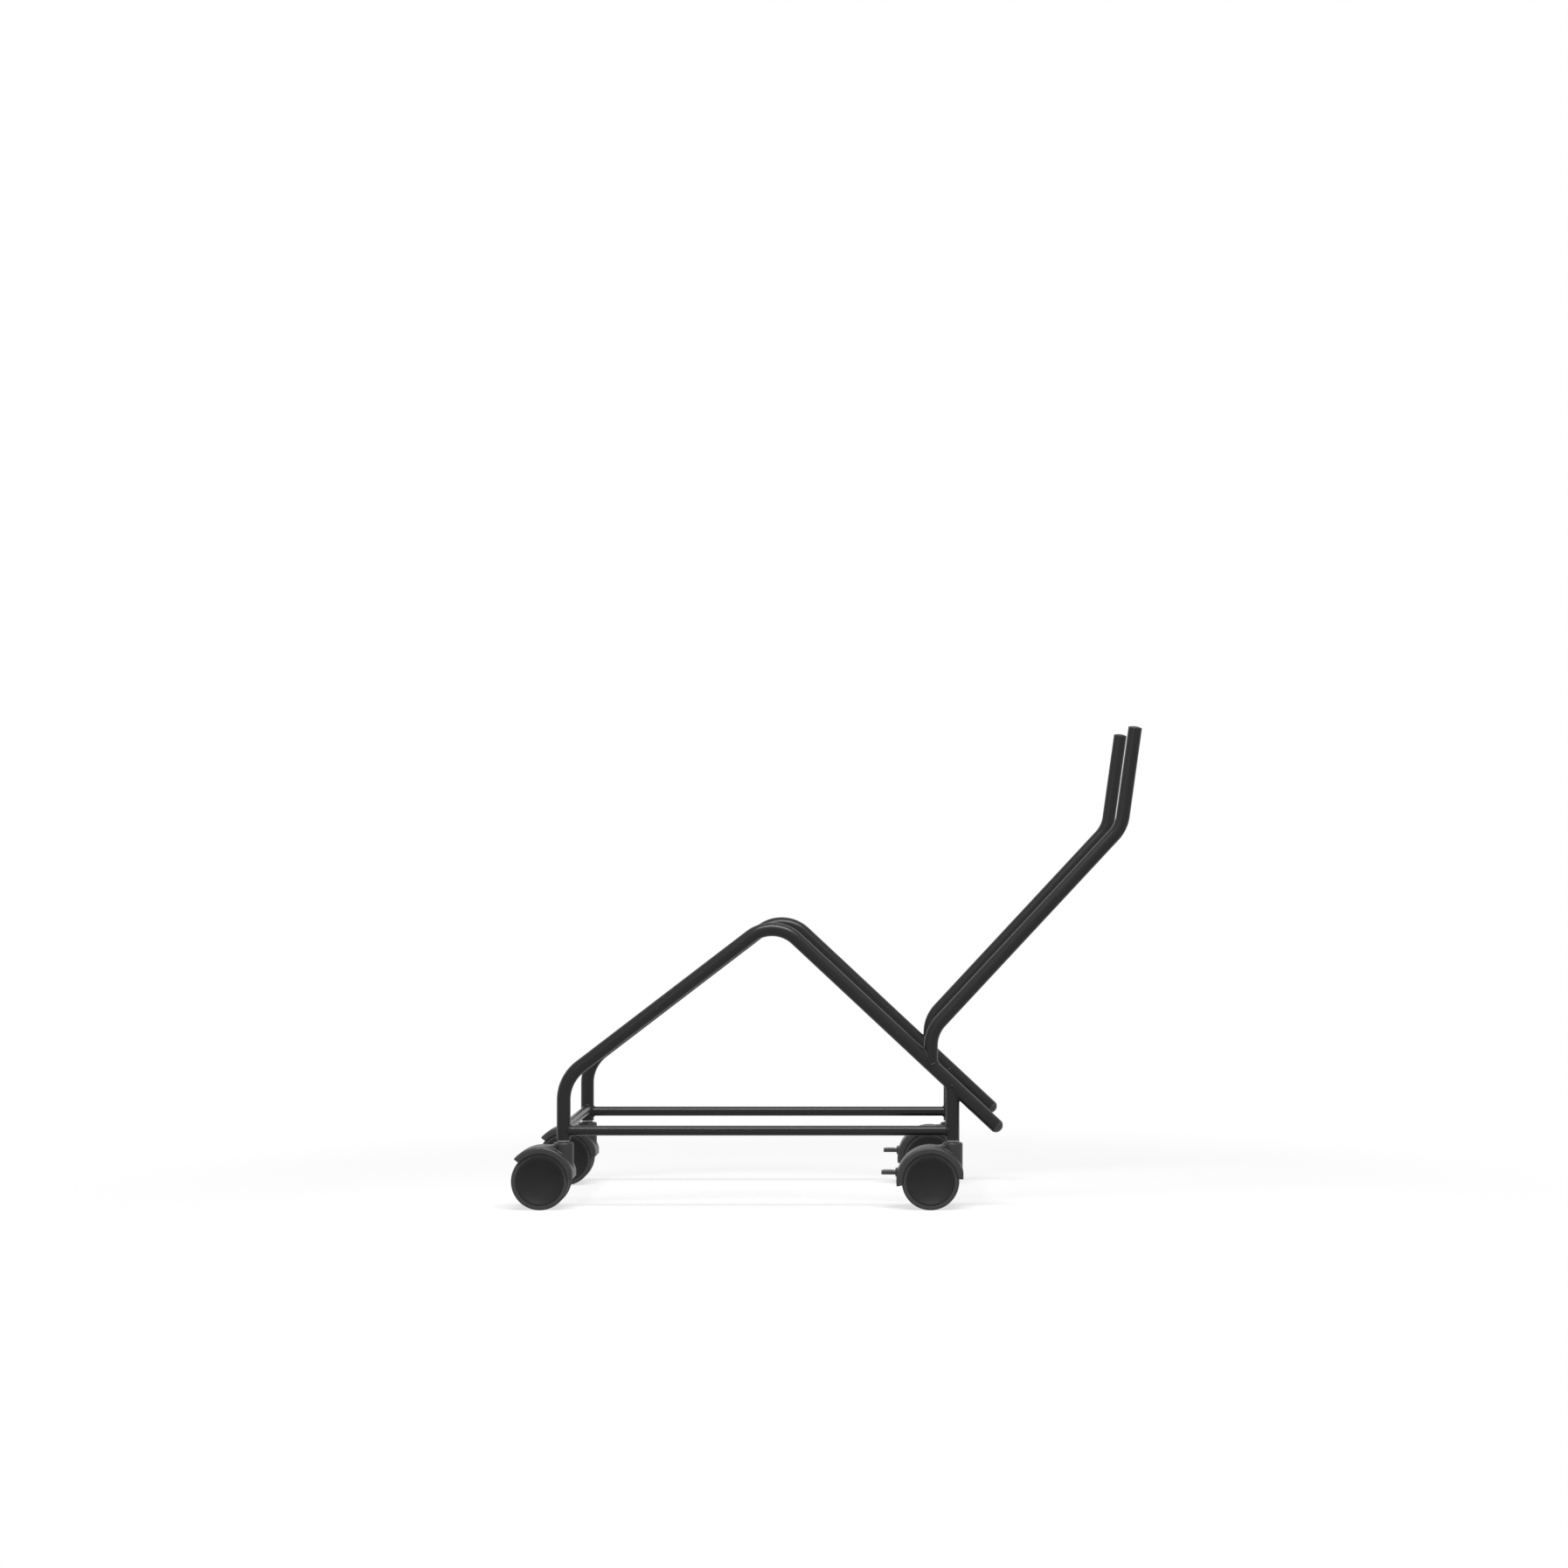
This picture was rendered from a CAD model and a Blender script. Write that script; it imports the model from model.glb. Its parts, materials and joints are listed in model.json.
import bmesh
import bpy
import json
import math
from mathutils import Matrix, Vector


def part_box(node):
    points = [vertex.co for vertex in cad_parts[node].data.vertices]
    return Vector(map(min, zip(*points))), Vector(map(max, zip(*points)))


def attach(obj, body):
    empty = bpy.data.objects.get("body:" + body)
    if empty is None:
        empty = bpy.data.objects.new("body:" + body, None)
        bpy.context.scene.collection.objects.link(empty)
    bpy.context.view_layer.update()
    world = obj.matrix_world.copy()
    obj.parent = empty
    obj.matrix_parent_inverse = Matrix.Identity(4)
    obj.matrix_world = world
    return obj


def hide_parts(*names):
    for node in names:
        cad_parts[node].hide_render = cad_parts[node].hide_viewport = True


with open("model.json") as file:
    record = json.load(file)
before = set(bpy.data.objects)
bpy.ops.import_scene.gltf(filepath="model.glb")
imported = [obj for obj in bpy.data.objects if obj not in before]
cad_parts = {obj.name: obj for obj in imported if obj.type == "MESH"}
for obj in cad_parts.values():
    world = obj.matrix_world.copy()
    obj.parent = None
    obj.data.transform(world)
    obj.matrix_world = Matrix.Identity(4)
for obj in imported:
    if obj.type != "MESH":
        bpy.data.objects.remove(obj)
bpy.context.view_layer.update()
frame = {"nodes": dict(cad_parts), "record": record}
record = frame["record"]


# Places that the frame gives

def middle(node):
    low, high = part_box(node)
    return (low + high) / 2


def span(node):
    low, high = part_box(node)
    return high - low


sides = {"left": -1, "right": 1}
frontX = middle("front_left_stem").x
rearX = middle("rear_left_stem").x
sideY = middle("front_right_stem").y
tubeRadius = span("rear_left_leg").x / 2
railRadius = span("left_rail").z / 2
railZ = middle("left_rail").z
crossZ = middle("front_cross_tube").z
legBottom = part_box("rear_left_leg")[0].z
wheelRadius = span("front_left_outer_tyre").z / 2


# Shader sockets as plain values

class Wire:
    def __init__(self, tree, socket):
        self.tree = tree
        self.socket = socket

    # any node: its type, its settings, then the values or links of its sockets
    def node(self, kind, settings=None, inputs=None, output=0):
        made = self.tree.nodes.new(kind)
        for key, value in (settings or {}).items():
            setattr(made, key, value)
        for key, value in (inputs or {}).items():
            feed(self.tree, made.inputs[key], value)
        return Wire(self.tree, made.outputs[output] if made.outputs else None)

    def math(self, operation, *values):
        return self.node("ShaderNodeMath", {"operation": operation}, dict(enumerate(values)))

    def __add__(self, other):
        return self.math("ADD", self, other)

    def __sub__(self, other):
        return self.math("SUBTRACT", self, other)

    def __rsub__(self, other):
        return self.math("SUBTRACT", other, self)

    def __mul__(self, other):
        return self.math("MULTIPLY", self, other)

    __radd__ = __add__
    __rmul__ = __mul__

    # 0 below low, 1 above high, smooth between
    def between(self, low, high):
        limits = {"Value": self, "From Min": low, "From Max": high}
        return self.node("ShaderNodeMapRange", {"interpolation_type": "SMOOTHSTEP"}, limits)

    # this value as the share of colour b over colour a
    def blend(self, a, b):
        colours = {"Factor": self, 6: a, 7: b}
        return self.node("ShaderNodeMix", {"data_type": "RGBA"}, colours, 2)

    def noise(self, scale, detail=3.0, roughness=0.5):
        values = {"Vector": self, "Scale": scale, "Detail": detail, "Roughness": roughness}
        return self.node("ShaderNodeTexNoise", None, values)

    def cells(self, scale):
        return self.node("ShaderNodeTexVoronoi", None, {"Vector": self, "Scale": scale})

    def stretched(self, *scale):
        return self.node("ShaderNodeVectorMath", {"operation": "MULTIPLY"}, {0: self, 1: scale})

    def length(self):
        return self.node("ShaderNodeVectorMath", {"operation": "LENGTH"}, {0: self}, 1)

    def bump(self, height, distance):
        values = {"Height": height, "Distance": distance, "Strength": 1.0}
        return self.node("ShaderNodeBump", None, values)


def feed(tree, socket, value):
    if isinstance(value, Wire):
        tree.links.new(value.socket, socket)
    elif socket.type == "RGBA":
        socket.default_value = (*value, 1.0)
    else:
        socket.default_value = value


# a material whose recipe gets object coordinates and returns the values of the shader's sockets
def surface(name, recipe):
    look = bpy.data.materials.new(name)
    look.use_nodes = True
    tree = look.node_tree
    shader = tree.nodes["Principled BSDF"]
    start = Wire(tree, None)
    place = start.node("ShaderNodeTexCoord", None, None, "Object")
    for socket, value in recipe(place).items():
        feed(tree, shader.inputs[socket], value)
    return look


powder = {
    "colour": (0.0100, 0.0098, 0.0101), "worn": (0.040, 0.039, 0.038), "dust": (0.070, 0.068, 0.065),
}


# satin black powder coat: fine orange peel, a little dust, hair scratches along the tubes
def powderCoat(place):
    peel = place.noise(620.0, 2.0)
    cloud = place.noise(9.0, 4.0)
    hairs = place.stretched(14.0, 160.0, 14.0).noise(9.0, 5.0, 0.62).between(0.66, 0.71)
    patches = place.noise(5.5, 2.0).between(0.52, 0.66)
    scratched = hairs * patches
    speck = place.noise(240.0, 1.0).between(0.70, 0.76) * cloud.between(0.45, 0.7)
    coat = (scratched * 0.55).blend(powder["colour"], powder["worn"])
    colour = (speck * 0.5).blend(coat, powder["dust"])
    rough = 0.27 + 0.08 * cloud + 0.16 * scratched
    return {"Base Color": colour, "Roughness": rough, "Specular IOR Level": 0.20,
            "Normal": place.bump(peel - 0.25 * scratched, 0.00006)}


nylon = {"colour": (0.021, 0.021, 0.0215), "rubbed": (0.050, 0.050, 0.051)}


# moulded nylon with a spark-eroded grain
def mouldedNylon(place):
    grain = place.cells(1500.0) + 0.6 * place.noise(2300.0, 2.0)
    cloud = place.noise(26.0, 4.0)
    rubs = place.stretched(1.0, 1.0, 0.25).noise(150.0, 4.0, 0.6).between(0.60, 0.70)
    scuff = rubs * cloud.between(0.5, 0.65)
    return {"Base Color": (scuff * 0.5).blend(nylon["colour"], nylon["rubbed"]),
            "Roughness": 0.36 + 0.12 * cloud, "Specular IOR Level": 0.30,
            "Normal": place.bump(grain, 0.00006)}


wheelNylon = {"colour": (0.014, 0.014, 0.014), "flow": (0.020, 0.020, 0.020)}


# wheel discs: smooth, with faint turned rings and a cloudy flow from the middle
def wheelDisc(place):
    radius = place.stretched(1.0, 1.0, 0.0).length()
    rings = place.math("SINE", radius * 5200.0)
    cloud = place.noise(38.0, 4.0)
    fine = place.noise(1400.0, 2.0)
    return {"Base Color": cloud.blend(wheelNylon["colour"], wheelNylon["flow"]),
            "Roughness": 0.34 + 0.10 * cloud, "Specular IOR Level": 0.08,
            "Normal": place.bump(fine + 0.3 * rings, 0.00003)}


tread = {
    "colour": (0.030, 0.030, 0.031), "floorDust": (0.115, 0.112, 0.106),
    "dustFrom": 0.0016, "dustFull": 0.0003,
}


# soft tyre: matt, dusty where it runs on the floor
def tyreRubber(place):
    radius = place.stretched(1.0, 1.0, 0.0).length()
    running = radius.between(wheelRadius - tread["dustFrom"], wheelRadius - tread["dustFull"])
    smear = place.noise(120.0, 5.0, 0.65).between(0.42, 0.68)
    fine = place.noise(1700.0, 3.0)
    return {"Base Color": (running * smear * 0.45).blend(tread["colour"], tread["floorDust"]),
            "Roughness": 0.62 + 0.18 * smear, "Specular IOR Level": 0.25,
            "Normal": place.bump(fine, 0.00008)}


zinc = {"colour": (0.56, 0.57, 0.59), "dull": (0.40, 0.40, 0.41)}


# bright zinc plate with a cloudy spangle
def zincPlate(place):
    cloud = place.noise(180.0, 4.0)
    lines = place.stretched(60.0, 60.0, 1500.0).noise(4.0, 3.0)
    return {"Base Color": cloud.blend(zinc["dull"], zinc["colour"]), "Metallic": 1.0,
            "Roughness": 0.24 + 0.18 * cloud, "Normal": place.bump(lines, 0.00002)}


capPlastic = {"colour": (0.021, 0.021, 0.022), "pale": (0.038, 0.038, 0.039)}


# polyethylene plugs and pedals: a waxy satin with rubbed patches
def capMoulding(place):
    cloud = place.noise(55.0, 4.0)
    fine = place.noise(1900.0, 2.0)
    return {"Base Color": cloud.between(0.5, 0.75).blend(capPlastic["colour"], capPlastic["pale"]),
            "Roughness": 0.40 + 0.12 * cloud, "Specular IOR Level": 0.30,
            "Normal": place.bump(fine, 0.00005)}


washerNylon = {"colour": (0.30, 0.295, 0.28), "grease": (0.13, 0.12, 0.11)}


# pale nylon under a film of grease
def washerMoulding(place):
    film = place.noise(210.0, 3.0).between(0.45, 0.75)
    return {"Base Color": film.blend(washerNylon["colour"], washerNylon["grease"]),
            "Roughness": 0.35 + 0.15 * film}


looks = {
    "powder_coat": surface("powder_coat", powderCoat),
    "castor_nylon": surface("castor_nylon", mouldedNylon),
    "wheel_nylon": surface("wheel_nylon", wheelDisc),
    "tyre_rubber": surface("tyre_rubber", tyreRubber),
    "zinc_steel": surface("zinc_steel", zincPlate),
    "cap_plastic": surface("cap_plastic", capMoulding),
    "pedal_plastic": surface("pedal_plastic", capMoulding),
    "washer_nylon": surface("washer_nylon", washerMoulding),
}
for entry in record["subparts"]:
    cadMesh = frame["nodes"][entry["node"]].data
    cadMesh.materials.clear()
    cadMesh.materials.append(looks[entry["material_slot"]])
print("finishes:", len(looks))


# Making and placing meshes

mergeWithin = 1e-6  # points closer than this become one


def linked(name, data):
    made = bpy.data.objects.new(name, data)
    bpy.context.scene.collection.objects.link(made)
    return made


# a smooth mesh object that keeps its sharp edges
def meshPiece(name, points, faces, sharpAngle=35.0):
    mesh = bpy.data.meshes.new(name)
    mesh.from_pydata([tuple(point) for point in points], [], faces)
    work = bmesh.new()
    work.from_mesh(mesh)
    bmesh.ops.remove_doubles(work, verts=work.verts, dist=mergeWithin)
    bmesh.ops.recalc_face_normals(work, faces=work.faces)
    work.to_mesh(mesh)
    work.free()
    mesh.shade_smooth()
    mesh.set_sharp_from_angle(angle=math.radians(sharpAngle))
    return linked(name, mesh)


# gives a piece its finish, its body and the nodes that it stands for
def dress(piece, body, slotName, standsFor=()):
    piece.data.materials.clear()
    piece.data.materials.append(looks[slotName])
    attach(piece, body)
    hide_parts(*standsFor)


# the mesh that the piece's modifiers give, kept in place of its own
def settle(piece):
    bpy.context.view_layer.update()
    graph = bpy.context.evaluated_depsgraph_get()
    piece.data = bpy.data.meshes.new_from_object(piece.evaluated_get(graph))
    piece.modifiers.clear()


# faces between rings of equal length, with a flat face over each end unless the rings close up
def skin(rings, looped=False):
    count = len(rings[0])
    points = [point for ring in rings for point in ring]
    faces = []
    for index in range(len(rings) if looped else len(rings) - 1):
        here = index * count
        there = (index + 1) % len(rings) * count
        for side in range(count):
            after = (side + 1) % count
            faces.append((here + side, here + after, there + after, there + side))
    if not looped:
        faces.append(tuple(range(count)))
        faces.append(tuple(range(len(points) - count, len(points))))
    return points, faces


# joins (points, faces) pairs into one
def together(shapes):
    points = []
    faces = []
    for morePoints, moreFaces in shapes:
        shift = len(points)
        points += morePoints
        faces += [tuple(shift + index for index in face) for face in moreFaces]
    return points, faces


# rounds each (x, y, radius) corner of a flat outline into an arc
def softCorners(corners, steps=6, looped=False):
    outline = []
    count = len(corners)
    for index, (x, y, radius) in enumerate(corners):
        corner = Vector((x, y))
        inner = looped or 0 < index < count - 1
        if radius == 0 or not inner:
            outline.append(corner)
            continue
        back = (Vector(corners[index - 1][:2]) - corner).normalized()
        onward = (Vector(corners[(index + 1) % count][:2]) - corner).normalized()
        half = back.angle(onward) / 2
        centre = corner + (back + onward).normalized() * radius / math.sin(half)
        start = corner + back * radius / math.tan(half) - centre
        turn = start.angle_signed(corner + onward * radius / math.tan(half) - centre)
        for step in range(steps + 1):
            outline.append(centre + Matrix.Rotation(-turn * step / steps, 2) @ start)
    return outline


# spins an outline of (radius, height) points about local Z
def turned(outline, facets=96, looped=False):
    rings = []
    for radius, height in outline:
        ring = []
        for facet in range(facets):
            angle = 2 * math.pi * facet / facets
            ring.append(Vector((radius * math.cos(angle), radius * math.sin(angle), height)))
        rings.append(ring)
    return skin(rings, looped)


# Bent tubes

tubing = {"wall": 0.0018, "facets": 48, "bendStep": 3.0, "sink": 0.0004, "runUp": 4.0}


# centre line through the points, as (place, heading) pairs, with an arc at each inner point
def bentRoute(points, bends):
    route = [(points[0], (points[1] - points[0]).normalized())]
    for before, corner, after, bendRadius in zip(points, points[1:], points[2:], bends):
        back = (before - corner).normalized()
        onward = (after - corner).normalized()
        turn = math.pi - back.angle(onward)
        centre = corner + (back + onward).normalized() * bendRadius / math.cos(turn / 2)
        start = corner + back * bendRadius * math.tan(turn / 2) - centre
        axis = onward.cross(back).normalized()
        steps = max(2, round(math.degrees(turn) / tubing["bendStep"]))
        for step in range(steps + 1):
            swing = Matrix.Rotation(turn * step / steps, 3, axis)
            route.append((centre + swing @ start, swing @ -back))
    route.append((points[-1], (points[-1] - points[-2]).normalized()))
    return route


# points on a circle about a place, from across towards up
def circle(place, across, up, radius, facets):
    angles = [2 * math.pi * facet / facets for facet in range(facets)]
    return [place + (across * math.cos(angle) + up * math.sin(angle)) * radius for angle in angles]


# rings of points square to the route, carried along it without twist
def tubeRings(route, radius):
    heading = route[0][1]
    across = heading.orthogonal().normalized()
    rings = []
    for place, onward in route:
        across = (heading.rotation_difference(onward) @ across).normalized()
        heading = onward
        rings.append(circle(place, across, heading.cross(across), radius, tubing["facets"]))
    return rings


# slides a tube's end ring along its heading until it meets the surface of the tube it is welded to
def coped(ring, heading, target, depth=0.0):
    origin, axis, radius = target
    flatHeading = heading - axis * heading.dot(axis)
    a = flatHeading.dot(flatHeading)
    slid = []
    for point in ring:
        offset = point - origin
        flatOffset = offset - axis * offset.dot(axis)
        b = flatOffset.dot(flatHeading)
        c = flatOffset.dot(flatOffset) - (radius - depth) ** 2
        slid.append(point + heading * (-b - math.sqrt(max(b * b - a * c, 0.0))) / a)
    return slid


weldLoops = []


# a tube along a route whose ends may be cut to fit other tubes
def tubeShape(route, radius, startTarget=None, endTarget=None):
    rings = tubeRings(route, radius)
    for index, target, sign in ((0, startTarget, -1), (-1, endTarget, 1)):
        if target:
            heading = route[index][1] * sign
            inboard = [point - heading * tubing["runUp"] * radius for point in rings[index]]
            weldLoops.append(coped(inboard, heading, target))
            rings[index] = coped(inboard, heading, target, tubing["sink"])
    return skin(rings)


sideFrame = {
    "kneeHeight": 0.234, "frontSlope": 37.4, "rearSlope": 43.0, "rearJointHeight": 0.224,
    "tailLength": 0.108, "kneeBend": 0.075, "saddleBend": 0.065,
}
frontTan = math.tan(math.radians(sideFrame["frontSlope"]))
rearTan = math.tan(math.radians(sideFrame["rearSlope"]))
rearAngle = math.radians(sideFrame["rearSlope"])
rearFall = Vector((math.cos(rearAngle), 0.0, -math.sin(rearAngle)))
saddleRun = sideFrame["rearJointHeight"] - sideFrame["kneeHeight"] + (rearX - frontX) * rearTan
saddleRun /= frontTan + rearTan
tailX = rearX + rearFall.x * sideFrame["tailLength"]
tailZ = sideFrame["rearJointHeight"] + rearFall.z * sideFrame["tailLength"]

handle = {
    "offset": 0.039, "footRise": 0.060, "slope": 47.0, "gripRise": 0.178, "gripLean": 8.0, "bend": 0.065,
}
gripLean = math.radians(handle["gripLean"])
handleX = rearX - handle["offset"]
footZ = sideFrame["rearJointHeight"] + handle["offset"] * rearTan
kneeZ = footZ + handle["footRise"]
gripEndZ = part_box("left_handle")[1].z - tubeRadius * math.sin(gripLean)
elbowZ = gripEndZ - handle["gripRise"]
elbowX = handleX + (elbowZ - kneeZ) / math.tan(math.radians(handle["slope"]))
gripEndX = elbowX + handle["gripRise"] * math.tan(gripLean)


# tubes that others are cut to fit, as (point, heading, radius)
def slopeTube(y):
    return Vector((rearX, y, sideFrame["rearJointHeight"])), rearFall, tubeRadius


def legTube(x, y):
    return Vector((x, y, 0.0)), Vector((0.0, 0.0, 1.0)), tubeRadius


# the tube that takes a node's place, along its bent centre line
def addTube(nodeName, points, bends, radius, startTarget=None, endTarget=None):
    places = [Vector(point) for point in points]
    shape = tubeShape(bentRoute(places, bends), radius, startTarget, endTarget)
    dress(meshPiece(nodeName + "_tube", *shape), "frame", "powder_coat", [nodeName])


for sideName, side in sides.items():
    y = side * sideY
    framePoints = [
        (frontX, y, legBottom), (frontX, y, sideFrame["kneeHeight"]),
        (frontX + saddleRun, y, sideFrame["kneeHeight"] + saddleRun * frontTan), (tailX, y, tailZ),
    ]
    frameBends = [sideFrame["kneeBend"], sideFrame["saddleBend"]]
    addTube(sideName + "_side_frame", framePoints, frameBends, tubeRadius)
    legPoints = [(rearX, y, legBottom), (rearX, y, footZ)]
    addTube("rear_" + sideName + "_leg", legPoints, [], tubeRadius, None, slopeTube(y))
    railPoints = [(frontX, y, railZ), (rearX, y, railZ)]
    addTube(sideName + "_rail", railPoints, [], railRadius, legTube(frontX, y), legTube(rearX, y))
    handlePoints = [(handleX, y, footZ), (handleX, y, kneeZ), (elbowX, y, elbowZ), (gripEndX, y, gripEndZ)]
    addTube(sideName + "_handle", handlePoints, [handle["bend"]] * 2, tubeRadius, slopeTube(y))
for end, x in (("front", frontX), ("rear", rearX)):
    crossPoints = [(x, -sideY, crossZ), (x, sideY, crossZ)]
    addTube(end + "_cross_tube", crossPoints, [], railRadius, legTube(x, -sideY), legTube(x, sideY))
print("tubes bent and coped:", len(weldLoops), "joints to weld")


# Weld beads round the coped ends

weldBead = {
    "radius": 0.0021, "ripple": 0.13, "pitch": 0.0026, "ringsPerRipple": 5, "facets": 10, "sharpAngle": 80.0,
}


# how far each point of a loop is from the next
def loopSteps(loop):
    return [(loop[(index + 1) % len(loop)] - point).length for index, point in enumerate(loop)]


# the same loop with points at even steps
def evenLoop(loop, count):
    lengths = loopSteps(loop)
    pace = sum(lengths) / count
    even = []
    travelled = 0.0
    for index, point in enumerate(loop):
        onward = loop[(index + 1) % len(loop)] - point
        while len(even) * pace < travelled + lengths[index] and len(even) < count:
            even.append(point + onward * (len(even) * pace - travelled) / lengths[index])
        travelled += lengths[index]
    return even


# a rippled bead along one loop
def beadShape(loop):
    ripples = round(sum(loopSteps(loop)) / weldBead["pitch"])
    centreLine = evenLoop(loop, ripples * weldBead["ringsPerRipple"])
    centre = sum(loop, Vector()) / len(loop)
    rings = []
    for index, point in enumerate(centreLine):
        onward = centreLine[(index + 1) % len(centreLine)] - centreLine[index - 1]
        heading = onward.normalized()
        outward = point - centre
        outward = (outward - heading * outward.dot(heading)).normalized()
        phase = index % weldBead["ringsPerRipple"] / weldBead["ringsPerRipple"]
        radius = weldBead["radius"] * (1 - weldBead["ripple"] * (1 - math.sin(math.pi * phase)))
        rings.append(circle(point, outward, heading.cross(outward), radius, weldBead["facets"]))
    return skin(rings, True)


beadShapes = together([beadShape(loop) for loop in weldLoops])
dress(meshPiece("weld_beads", *beadShapes, weldBead["sharpAngle"]), "frame", "powder_coat")
print("welds laid")


# Castor sizes, from the rear left castor, with its swivel axis as local X and Y zero

castorHome = Vector((rearX, -sideY, 0.0))
axle = middle("rear_left_axle") - castorHome
wheelWidth = span("front_left_outer_tyre").y
rimRadius = span("front_left_outer_wheel").z / 2
hoodLow, hoodHigh = (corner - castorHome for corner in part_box("rear_left_hood"))
hoodRadius = axle.x - hoodLow.x
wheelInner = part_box("front_right_outer_tyre")[0].y - sideY
boreRadius = tubeRadius - tubing["wall"]
castors = {
    "front_left": (frontX, -1, False), "front_right": (frontX, 1, False),
    "rear_left": (rearX, -1, True), "rear_right": (rearX, 1, True),
}
aboutAxle = Matrix.Rotation(math.radians(-90), 4, "X")
atAxle = Matrix.Translation(axle) @ aboutAxle


def placed(shape, matrix):
    points, faces = shape
    return [matrix @ Vector(point) for point in points], faces


def block(low, high):
    xs, ys, zs = zip(low, high)
    corners = [Vector((x, y, z)) for x in xs for y in ys for z in zs]
    return corners, [(0, 1, 3, 2), (4, 6, 7, 5), (0, 4, 5, 1), (2, 3, 7, 6), (0, 2, 6, 4), (1, 5, 7, 3)]


# a flat outline in X and Z, as thick along Y as from low to high
def extruded(outline, low, high):
    return skin([[Vector((x, depth, z)) for x, z in outline] for depth in (low, high)])


# joins or cuts with the tools, which are used up
def combine(piece, tools, operation):
    for tool in tools:
        change = piece.modifiers.new(tool.name, "BOOLEAN")
        change.operation = operation
        change.object = tool
        change.solver = "EXACT"
    settle(piece)
    for tool in tools:
        bpy.data.objects.remove(tool)


moulding = {"smoothing": 0.5}


# one even skin over the joined pieces, with the soft edges of a moulding
def mould(piece, values):
    grid = piece.modifiers.new("grid", "REMESH")
    grid.mode = "VOXEL"
    grid.voxel_size = values["voxel"]
    soften = piece.modifiers.new("soften", "SMOOTH")
    soften.factor = moulding["smoothing"]
    soften.iterations = values["softening"]
    thin = piece.modifiers.new("thin", "DECIMATE")
    thin.ratio = values["kept"]
    settle(piece)
    piece.data.shade_smooth()
    return piece


hoodShape = {
    "wall": 0.006, "edge": 0.004, "plainRise": 38.0, "brakedFall": 12.0,
    "roundedEdge": 0.0045, "lipRadius": 0.0500, "lipThickness": 0.0026, "lipGap": 0.0009,
    "bossDiameter": 0.037, "bossEdge": 0.0030, "brow": 0.0010,
    "neckWidth": 0.028, "neckOverrun": 0.006, "neckSink": 0.001, "webWidth": 0.018, "hubDiameter": 0.030,
    "facets": 160, "pocketFacets": 151, "voxel": 0.0009, "softening": 5, "kept": 0.35,
}
brakeShape = {
    "pinBack": 0.036, "pinRise": 0.015, "plateDrop": 0.001, "armWidth": 0.008, "armHeight": 0.010,
    "width": 0.030, "plate": 0.006, "reach": 0.027, "corner": 0.005, "shoeHeight": 0.014,
    "shoeDepth": 0.008, "shoeGap": 0.0035, "armGap": 0.002, "notchGap": 0.0006, "sideGap": 0.0003,
    "ribs": 4, "ribPitch": 0.0042, "ribWidth": 0.0018, "ribHeight": 0.0010,
    "voxel": 0.00055, "softening": 3, "kept": 0.35,
}
shoeFace = axle.x - wheelRadius - brakeShape["shoeGap"]
pinX = axle.x - brakeShape["pinBack"]
pinZ = axle.z + brakeShape["pinRise"]
plateZ = pinZ - brakeShape["plateDrop"]


# the slot for the pedal's arm and the notch for its shoe
def brakeCuts(far):
    armHalf = brakeShape["armWidth"] / 2 + brakeShape["sideGap"]
    beyondArm = brakeShape["armHeight"] / 2 + brakeShape["armGap"]
    notchHalf = brakeShape["width"] / 2 + brakeShape["notchGap"]
    notchTop = plateZ + brakeShape["shoeHeight"] / 2 + brakeShape["notchGap"]
    slot = block((-far, -armHalf, -far), (pinX + beyondArm, armHalf, pinZ + beyondArm))
    notch = block((-far, -notchHalf, -far), (shoeFace + brakeShape["shoeDepth"], notchHalf, notchTop))
    return [meshPiece("hood_slot", *slot), meshPiece("hood_notch", *notch)]


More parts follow.
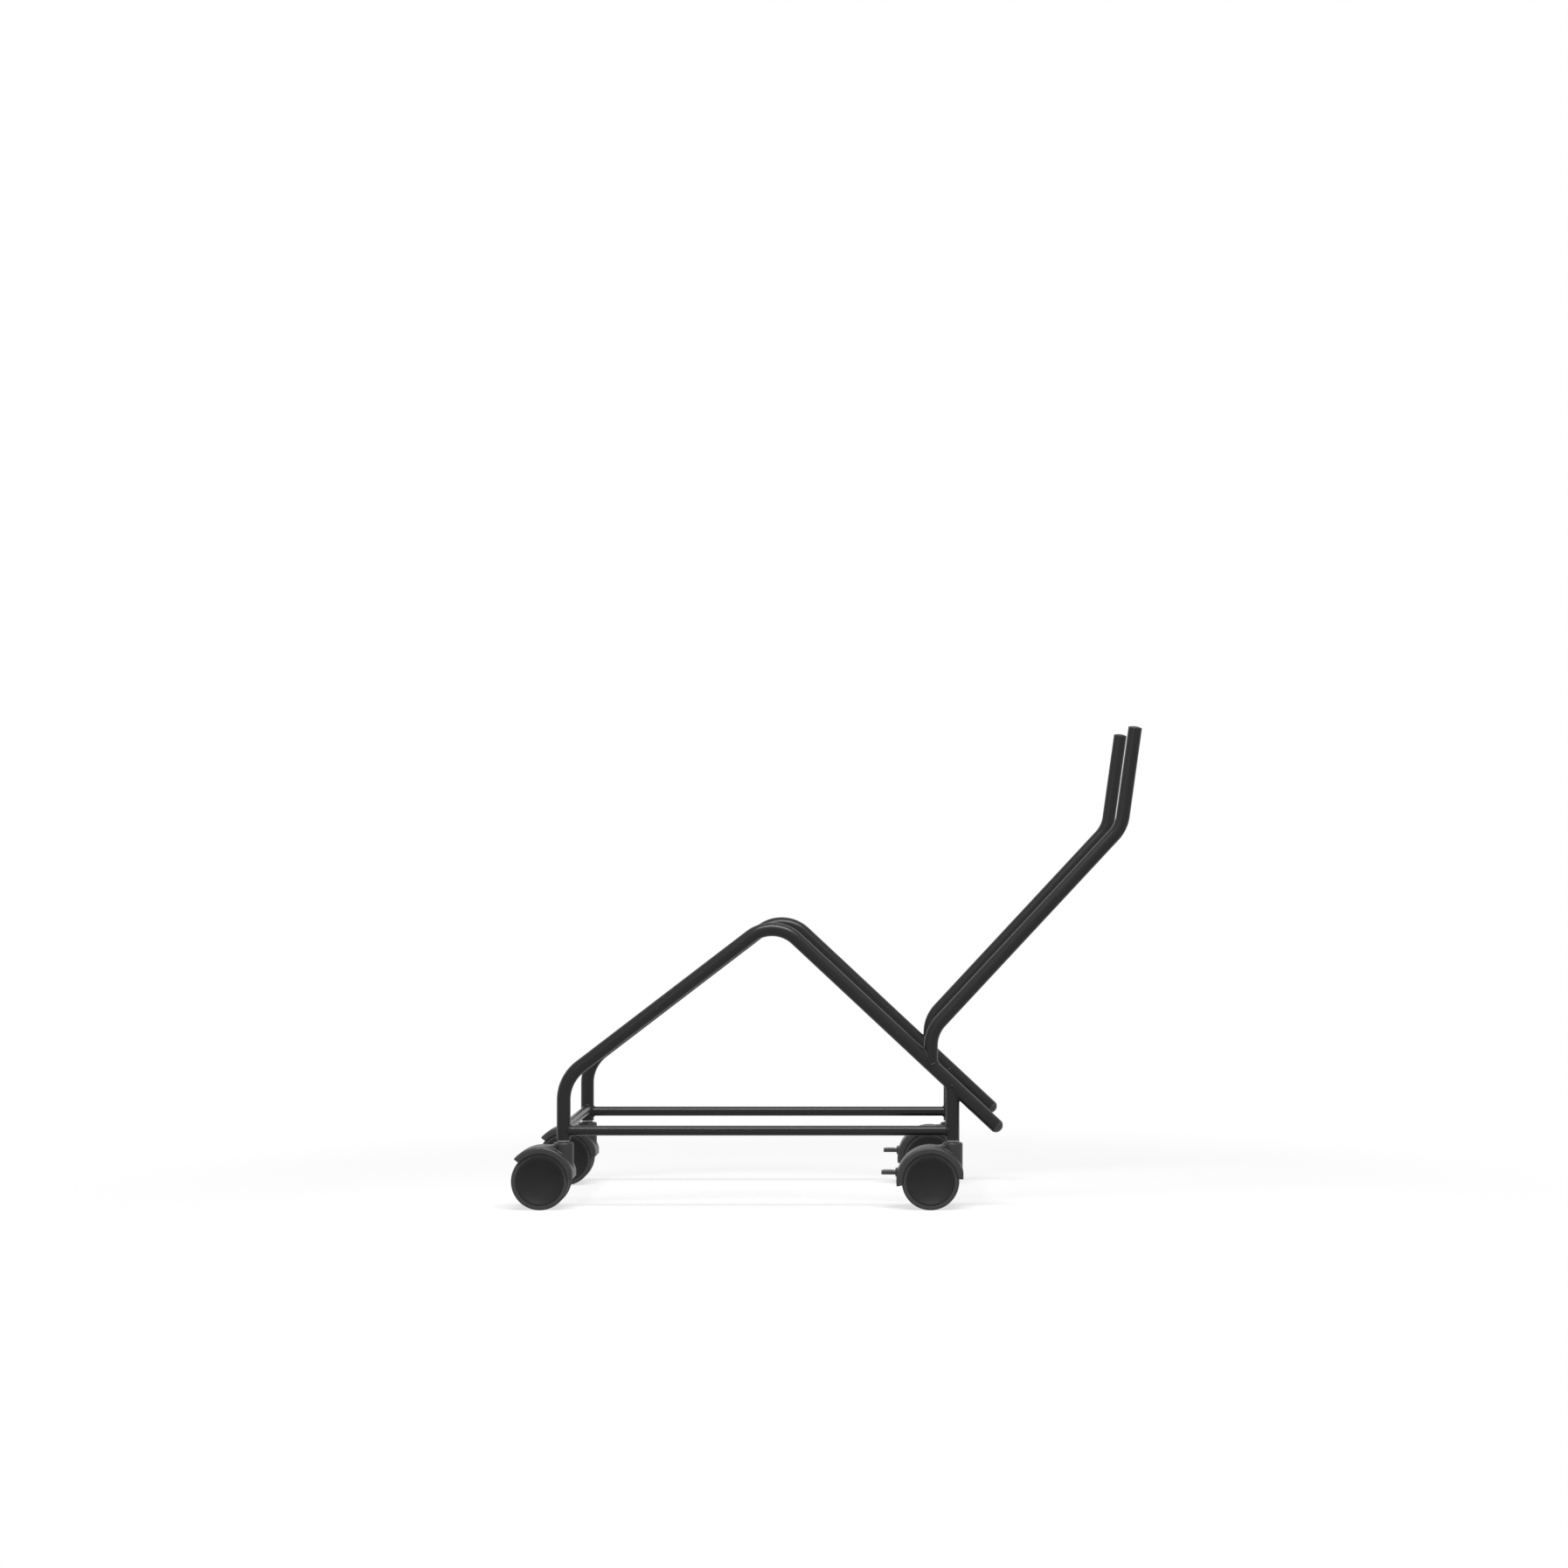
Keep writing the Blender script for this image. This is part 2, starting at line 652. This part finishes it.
# cover, boss and neck in one, trimmed and then hollowed for the wheels
def makeHood(name, braked):
    edgeZ = axle.z + hoodShape["edge"]
    bossRadius = hoodShape["bossDiameter"] / 2
    neckHalf = hoodShape["neckWidth"] / 2
    webHalf = hoodShape["webWidth"] / 2
    neckEnd = axle.x - hoodShape["neckOverrun"]
    far = 4 * hoodRadius  # well past the hood on every side
    top = hoodHigh.z
    crown = axle.z + hoodRadius - hoodShape["neckSink"]
    rounded = hoodShape["roundedEdge"]
    lipIn = wheelInner + wheelWidth + hoodShape["lipGap"]
    lipOut = lipIn + hoodShape["lipThickness"]
    cover = softCorners([(0.0, -lipOut, 0), (hoodRadius, -lipOut, rounded),
                         (hoodRadius, lipOut, rounded), (0.0, lipOut, 0)])
    hood = meshPiece(name, *placed(turned(cover, hoodShape["facets"]), atAxle))
    low = edgeZ - rounded
    bossCorners = [
        (0.0, low, 0), (bossRadius, low, 0), (bossRadius, top, hoodShape["bossEdge"]), (0.0, top, 0),
    ]
    boss = meshPiece("hood_boss", *turned(softCorners(bossCorners)))
    neckOutline = [(0.0, low), (0.0, top - hoodShape["bossEdge"]), (neckEnd, crown), (neckEnd, low)]
    neck = meshPiece("hood_neck", *extruded(neckOutline, -neckHalf, neckHalf))
    combine(hood, [boss, neck], "UNION")
    edgeRise = -hoodShape["brakedFall"] if braked else hoodShape["plainRise"]
    behindZ = edgeZ + far * math.tan(math.radians(edgeRise))
    under = [(far, edgeZ), (axle.x, edgeZ), (axle.x - far, behindZ), (axle.x - far, -far), (far, -far)]
    ahead = block((bossRadius + hoodShape["brow"], -far, -far), (far, far, far))
    trims = [meshPiece("hood_under", *extruded(under, -far, far)), meshPiece("hood_ahead", *ahead)]
    combine(hood, trims, "DIFFERENCE")
    hubRadius = hoodShape["hubDiameter"] / 2
    hub = meshPiece("hood_hub", *placed(turned([(hubRadius, -neckHalf), (hubRadius, neckHalf)]), atAxle))
    combine(hood, [hub], "UNION")
    pocketRadius = hoodRadius - hoodShape["wall"]
    lipRadius = hoodShape["lipRadius"]
    pocketOutline = [(pocketRadius, webHalf), (pocketRadius, lipIn), (lipRadius, lipIn), (lipRadius, far)]
    pocket = turned(pocketOutline, hoodShape["pocketFacets"])
    halfTurn = Matrix.Rotation(math.pi, 4, "X")
    tools = [meshPiece("hood_pocket", *placed(pocket, atAxle)),
             meshPiece("hood_pocket", *placed(pocket, atAxle @ halfTurn))]
    if braked:
        tools += brakeCuts(far)
    combine(hood, tools, "DIFFERENCE")
    return mould(hood, hoodShape)


# plate, shoe, arm with its eye, and grip ribs
def makePedal(name):
    half = brakeShape["width"] / 2
    plateEnd = axle.x - hoodRadius - brakeShape["reach"]
    corner = brakeShape["corner"]
    plateHalf = brakeShape["plate"] / 2
    shoeHalf = brakeShape["shoeHeight"] / 2
    outline = softCorners([
        (shoeFace, -half, 0), (plateEnd, -half, corner), (plateEnd, half, corner), (shoeFace, half, 0),
    ])
    rings = [[Vector((x, y, z)) for x, y in outline] for z in (plateZ - plateHalf, plateZ + plateHalf)]
    pedal = meshPiece(name, *skin(rings))
    shoeLow = (shoeFace - brakeShape["shoeDepth"], -half, plateZ - shoeHalf)
    tools = [meshPiece("shoe", *block(shoeLow, (shoeFace, half, plateZ + shoeHalf)))]
    armHalf = brakeShape["armWidth"] / 2
    armTop = brakeShape["armHeight"] / 2
    armBack = shoeFace - brakeShape["shoeDepth"] / 2
    tools.append(meshPiece("arm", *block((armBack, -armHalf, pinZ - armTop), (pinX, armHalf, pinZ + armTop))))
    atPin = Matrix.Translation((pinX, 0.0, pinZ)) @ aboutAxle
    tools.append(meshPiece("eye", *placed(turned([(armTop, -armHalf), (armTop, armHalf)]), atPin)))
    ribTop = plateZ + plateHalf + brakeShape["ribHeight"]
    for index in range(brakeShape["ribs"]):
        ribX = plateEnd + corner + index * brakeShape["ribPitch"]
        ribLow = (ribX, -half + corner / 2, plateZ)
        ribHigh = (ribX + brakeShape["ribWidth"], half - corner / 2, ribTop)
        tools.append(meshPiece("rib", *block(ribLow, ribHigh)))
    combine(pedal, tools, "UNION")
    return mould(pedal, brakeShape)


# a copy of the pattern at one castor
def atCastor(pattern, name, castorName):
    x, side = castors[castorName][:2]
    copy = linked(castorName + "_" + name, pattern.data)
    copy.location = (x, side * sideY, 0.0)
    return copy


hoodPatterns = {braked: makeHood("hood_pattern", braked) for braked in (False, True)}
pedalPattern = makePedal("pedal_pattern")
for castorName, (x, side, braked) in castors.items():
    hood = atCastor(hoodPatterns[braked], "hood_shell", castorName)
    dress(hood, castorName + "_castor", "castor_nylon", [castorName + "_hood"])
    if braked:
        pedal = atCastor(pedalPattern, "brake_lever", castorName)
        dress(pedal, castorName + "_brake", "pedal_plastic", [castorName + "_brake_pedal"])
for pattern in (*hoodPatterns.values(), pedalPattern):
    bpy.data.objects.remove(pattern)
print("hoods and pedals moulded")


# Wheels and tyres

wheelShape = {
    "dishDepth": 0.011, "dishLip": 0.003, "discThickness": 0.0045, "hubDiameter": 0.016,
    "axleDiameter": 0.008, "axleGrip": 0.0093, "edge": 0.0008, "lipEdge": 0.0012,
    "dishSteps": 20, "facets": 128,
}
tyreShape = {"shoulder": 0.004, "bead": 0.0006, "steps": 10}


# wheel disc: heights run from its inner face out to the rim, with a shallow bowl on the outside
def wheelOutline():
    lipRadius = rimRadius - wheelShape["dishLip"]
    depth = wheelShape["dishDepth"]
    axleRadius = wheelShape["axleDiameter"] / 2
    hubRadius = wheelShape["hubDiameter"] / 2
    recess = wheelWidth - depth - wheelShape["discThickness"]
    edge = wheelShape["edge"]
    outline = softCorners([
        (0.0, wheelShape["axleGrip"], 0), (axleRadius, wheelShape["axleGrip"], 0), (axleRadius, 0.0, 0),
        (hubRadius, 0.0, edge), (hubRadius, recess, edge), (lipRadius, recess, edge), (lipRadius, 0.0, edge),
        (rimRadius, 0.0, edge), (rimRadius, wheelWidth, edge), (lipRadius, wheelWidth, wheelShape["lipEdge"]),
        (lipRadius - depth, wheelWidth - depth / 2, 0),
    ])[:-1]
    bowlRadius = (lipRadius ** 2 + depth ** 2) / (2 * depth)
    bowlCentre = wheelWidth - depth + bowlRadius
    first = outline[-1].x
    for step in range(1, wheelShape["dishSteps"] + 1):
        radius = first * (1 - step / wheelShape["dishSteps"])
        outline.append(Vector((radius, bowlCentre - math.sqrt(bowlRadius ** 2 - radius ** 2))))
    return outline


# tyre: a flat tread with round shoulders
def tyreOutline():
    shoulder = tyreShape["shoulder"]
    bead = tyreShape["bead"]
    return softCorners([
        (rimRadius, 0.0, bead), (wheelRadius, 0.0, shoulder), (wheelRadius, wheelWidth, shoulder),
        (rimRadius, wheelWidth, bead),
    ], tyreShape["steps"], True)


wheelPattern = meshPiece("wheel_pattern", *turned(wheelOutline(), wheelShape["facets"]))
tyrePattern = meshPiece("tyre_pattern", *turned(tyreOutline(), wheelShape["facets"], True))
wheelParts = ((wheelPattern, "wheel", "wheel_nylon"), (tyrePattern, "tyre", "tyre_rubber"))
for castorName, (x, side, braked) in castors.items():
    for position, facing in (("outer", side), ("inner", -side)):
        body = castorName + "_" + position + "_wheel_set"
        hubPlace = Vector((x, side * sideY, 0.0)) + axle + Vector((0.0, facing * wheelInner, 0.0))
        turn = Matrix.Rotation(math.radians(-90 * facing), 4, "X")
        for pattern, name, slotName in wheelParts:
            pieceName = castorName + "_" + position + "_" + name
            piece = linked(pieceName + "_turned", pattern.data)
            piece.matrix_world = Matrix.Translation(hubPlace) @ turn
            dress(piece, body, slotName, [pieceName])
for pattern in (wheelPattern, tyrePattern):
    bpy.data.objects.remove(pattern)
print("wheels and tyres turned")


# Small turned pieces: stems, washers, ferrules and end plugs

stemShape = {
    "diameter": 0.011, "collarDiameter": 0.020, "collarThickness": 0.002, "edge": 0.0006, "point": 0.0015,
}
washerShape = {"edge": 0.0003, "fit": 0.00002}
ferruleShape = {"flange": 0.002, "edge": 0.0007, "fit": 0.00002}
ringShape = {"edgeSteps": 4}
plugShape = {
    "rim": 0.003, "tailDome": 0.009, "gripDome": 0.0025, "length": 0.018,
    "edge": 0.0005, "shoulder": 0.0008, "domeSteps": 14,
}
legPlaces = [Vector((x, side * sideY, 0.0)) for x, side, braked in castors.values()]
stemLow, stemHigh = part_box("front_left_stem")
washerLow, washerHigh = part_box("swivel_washers")
socketLow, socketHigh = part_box("leg_sockets")
stemRadius = stemShape["diameter"] / 2
collarRadius = stemShape["collarDiameter"] / 2
collarTop = washerHigh.z + stemShape["collarThickness"]
stemOutline = softCorners([
    (0.0, stemLow.z, 0), (stemRadius, stemLow.z, stemShape["point"]), (stemRadius, washerHigh.z, 0),
    (collarRadius, washerHigh.z, stemShape["edge"]), (collarRadius, collarTop, stemShape["edge"]),
    (stemRadius, collarTop, 0), (stemRadius, stemHigh.z, stemShape["point"]), (0.0, stemHigh.z, 0),
])
for castorName, place in zip(castors, legPlaces):
    stem = meshPiece(castorName + "_stem_pin", *placed(turned(stemOutline), Matrix.Translation(place)))
    dress(stem, "frame", "zinc_steel", [castorName + "_stem"])


# a ring about each leg's axis
def legRings(name, corners, slotName, standsFor):
    ring = turned(softCorners(corners, ringShape["edgeSteps"], True), looped=True)
    shapes = [placed(ring, Matrix.Translation(place)) for place in legPlaces]
    dress(meshPiece(name, *together(shapes)), "frame", slotName, [standsFor])


washerBore = stemRadius + washerShape["fit"]
legRings("swivel_washer_rings", [
    (washerBore, washerLow.z, 0), (collarRadius, washerLow.z, washerShape["edge"]),
    (collarRadius, washerHigh.z, washerShape["edge"]), (washerBore, washerHigh.z, 0),
], "washer_nylon", "swivel_washers")
flangeTop = socketLow.z + ferruleShape["flange"]
plugRadius = boreRadius - ferruleShape["fit"]
legRings("leg_ferrules", [
    (washerBore, socketLow.z, 0), (tubeRadius, socketLow.z, ferruleShape["edge"]),
    (tubeRadius, flangeTop, ferruleShape["edge"]), (plugRadius, flangeTop, 0), (plugRadius, socketHigh.z, 0),
    (washerBore, socketHigh.z, 0),
], "cap_plastic", "leg_sockets")


# plugs in two tubes that end at x and z and lean from upright towards +X
def addPlugs(name, x, z, lean, dome, standsFor):
    domeRadius = (tubeRadius ** 2 + dome ** 2) / (2 * dome)
    domeCentre = plugShape["rim"] + dome - domeRadius
    length = plugShape["length"]
    corners = [
        (0.0, -length, 0), (plugRadius, -length, plugShape["edge"]), (plugRadius, 0.0, 0),
        (tubeRadius, 0.0, plugShape["edge"]), (tubeRadius, plugShape["rim"], plugShape["shoulder"]),
    ]
    for step in range(1, plugShape["domeSteps"] + 1):
        radius = tubeRadius * (1 - step / plugShape["domeSteps"])
        corners.append((radius, domeCentre + math.sqrt(domeRadius ** 2 - radius ** 2), 0))
    plug = turned(softCorners(corners))
    turn = Matrix.Rotation(math.radians(lean), 4, "Y")
    shapes = [placed(plug, Matrix.Translation((x, side * sideY, z)) @ turn) for side in sides.values()]
    dress(meshPiece(name, *together(shapes)), "frame", "cap_plastic", [standsFor])


addPlugs("tail_plugs", tailX, tailZ, 90 + sideFrame["rearSlope"], plugShape["tailDome"], "tail_end_caps")
addPlugs("grip_plugs", gripEndX, gripEndZ, handle["gripLean"], plugShape["gripDome"], "grip_end_caps")
print("small pieces turned")


# Stage: pale floor, soft studio light, the camera of the photograph

studio = {
    "floor": (0.80, 0.80, 0.80), "floorSize": 30.0, "shadow": 0.30, "fadeFrom": 0.7, "fadeTo": 1.6,
    "ambient": 0.16, "lampAim": (0.0, 0.0, 0.35),
    "key": {"place": (0.1, -1.5, 3.0), "size": (2.4, 0.8), "watts": 165.0},
    "front": {"place": (-1.6, -3.4, 1.5), "size": (1.2, 1.2), "watts": 6.0},
}
photo = {
    "ahead": 0.6363, "back": -5.985, "height": 0.660, "lens": 73.0, "sensor": 36.0,
    "pitch": 1.0865, "shift": -0.0833,
}


# what the camera, mirrors and glass see in place of the shaded backdrop
def seenAs(start, shaded, seen):
    rays = start.node("ShaderNodeLightPath", None, None, "Is Camera Ray")
    share = rays
    for other in ("Is Glossy Ray", "Is Transmission Ray"):
        share = start.math("MAXIMUM", share, Wire(start.tree, rays.socket.node.outputs[other]))
    return start.node("ShaderNodeMixShader", None, {0: share, 1: shaded, 2: seen})


world = bpy.data.worlds.new("studio")
bpy.context.scene.world = world
world.use_nodes = True
world.node_tree.nodes.clear()
start = Wire(world.node_tree, None)
white = (1.0, 1.0, 1.0)
ambient = start.node("ShaderNodeBackground", None, {"Color": white, "Strength": studio["ambient"]})
backdrop = start.node("ShaderNodeBackground", None, {"Color": white, "Strength": 1.0})
start.node("ShaderNodeOutputWorld", None, {"Surface": seenAs(start, ambient, backdrop)})

reach = studio["floorSize"] / 2
floorCorners = [(-reach, -reach, 0), (reach, -reach, 0), (reach, reach, 0), (-reach, reach, 0)]
floor = meshPiece("floor", floorCorners, [(0, 1, 2, 3)])
floorLook = bpy.data.materials.new("floor")
floorLook.use_nodes = True
floorLook.node_tree.nodes.clear()
start = Wire(floorLook.node_tree, None)
place = start.node("ShaderNodeTexCoord", None, None, "Object")
near = 1 - place.length().between(studio["fadeFrom"], studio["fadeTo"])
matt = start.node("ShaderNodeBsdfDiffuse", None, {"Color": studio["floor"]})
glow = start.node("ShaderNodeEmission", None, {"Color": white, "Strength": 1.0})
paper = start.node("ShaderNodeMixShader", None, {0: near * studio["shadow"], 1: glow, 2: matt})
start.node("ShaderNodeOutputMaterial", None, {"Surface": seenAs(start, matt, paper)})
floor.data.materials.append(floorLook)

for lampName in ("key", "front"):
    values = studio[lampName]
    light = bpy.data.lights.new(lampName, "AREA")
    light.shape = "RECTANGLE"
    light.size, light.size_y = values["size"]
    light.energy = values["watts"]
    lamp = linked(lampName, light)
    lamp.location = values["place"]
    aim = Vector(studio["lampAim"]) - lamp.location
    lamp.rotation_euler = aim.to_track_quat("-Z", "Y").to_euler()

camera = linked("camera", bpy.data.cameras.new("camera"))
camera.data.lens = photo["lens"]
camera.data.sensor_width = photo["sensor"]
camera.location = (frontX + photo["ahead"], photo["back"], photo["height"])
camera.data.shift_x = photo["shift"]
camera.rotation_euler = (math.radians(90 + photo["pitch"]), 0.0, 0.0)
bpy.context.scene.camera = camera
bpy.context.scene.view_settings.view_transform = "Standard"
print("stage set")
